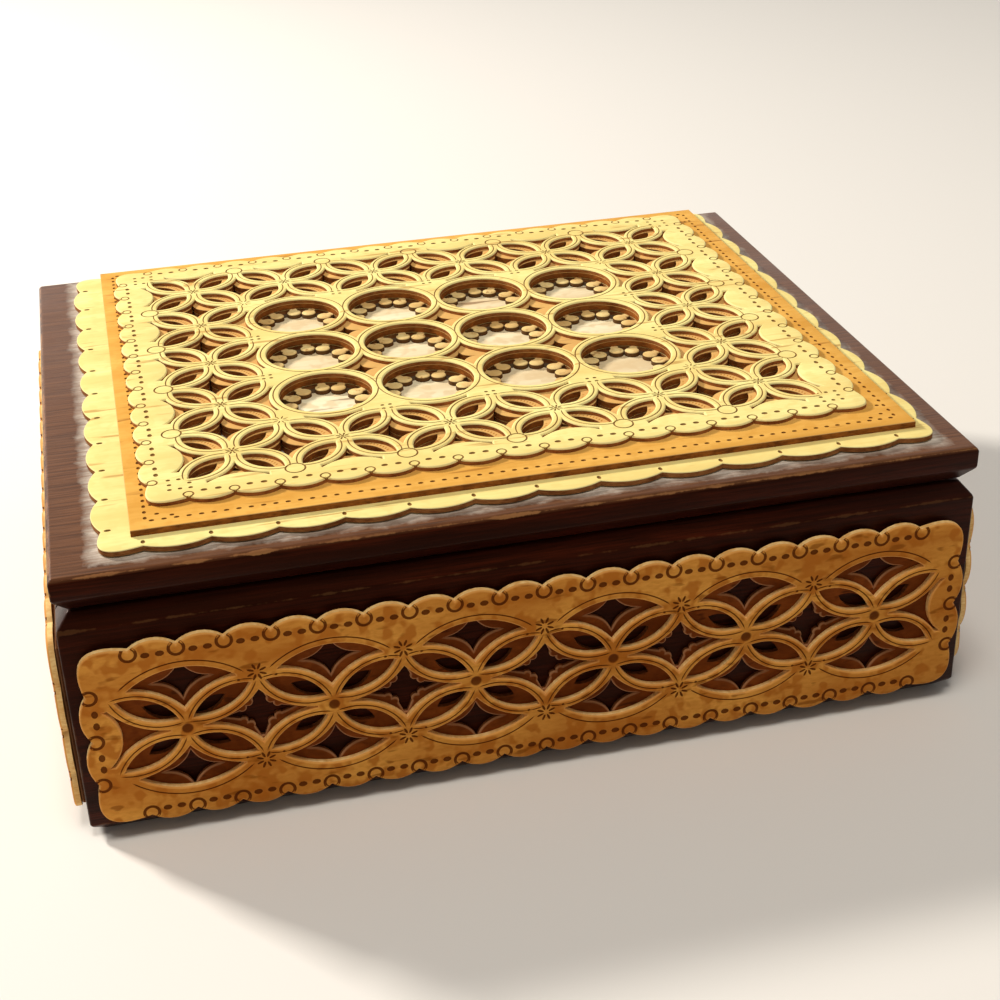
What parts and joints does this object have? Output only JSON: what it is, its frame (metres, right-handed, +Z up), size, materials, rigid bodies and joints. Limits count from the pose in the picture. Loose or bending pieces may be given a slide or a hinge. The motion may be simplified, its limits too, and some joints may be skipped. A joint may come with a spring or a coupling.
{
  "type": "jewelry box",
  "caption": "Low rectangular wooden box with a hinged lid, dressed on the lid and all four walls with pierced and scalloped birch-bark fretwork.",
  "frame": {"origin": "middle of the underside, on the surface that the box stands on", "axes": "+X to the right along the box's length, +Y towards the hinged back, +Z up"},
  "size_m": [0.1642, 0.1362, 0.0548],
  "materials": {
    "stained_wood": "dark red-brown stain under gloss varnish",
    "bare_wood": "stained, unvarnished",
    "cream_bark": "matt, lightly oiled",
    "ochre_bark": "matt, lightly oiled",
    "tan_bark": "matt, lightly oiled",
    "brown_bark": "matt",
    "brass": "polished, a little tarnished",
    "felt": "short wool felt"
  },
  "bodies": {
    "box": {"bottom_board": "bare_wood", "front_wall": "stained_wood", "back_wall": "stained_wood", "left_wall": "stained_wood", "right_wall": "stained_wood", "bottom_lining": "felt", "front_under_panel": "brown_bark", "front_fretwork_panel": "tan_bark", "back_under_panel": "brown_bark", "back_fretwork_panel": "tan_bark", "left_under_panel": "brown_bark", "left_fretwork_panel": "tan_bark", "right_under_panel": "brown_bark", "right_fretwork_panel": "tan_bark", "left_hinge_body_leaf": "brass", "left_hinge_pin": "brass", "right_hinge_body_leaf": "brass", "right_hinge_pin": "brass", "left_hinge_body_screw_1": "brass", "left_hinge_body_screw_2": "brass", "right_hinge_body_screw_1": "brass", "right_hinge_body_screw_2": "brass"},
    "lid": {"lid_board": "stained_wood", "lid_lining": "felt", "lid_backing_sheet": "cream_bark", "lid_base_plate": "cream_bark", "lid_mat_plate": "ochre_bark", "lid_fretwork_plate": "cream_bark", "left_hinge_lid_leaf": "brass", "right_hinge_lid_leaf": "brass", "left_hinge_lid_screw_1": "brass", "left_hinge_lid_screw_2": "brass", "right_hinge_lid_screw_1": "brass", "right_hinge_lid_screw_2": "brass"}
  },
  "joints": [
    {"name": "lid_hinge", "type": "hinge", "parent": "box", "child": "lid", "pos_m": [0, 0.066, 0.0443], "axis": [-1, 0, 0], "range_deg": [0, 105]}
  ]
}
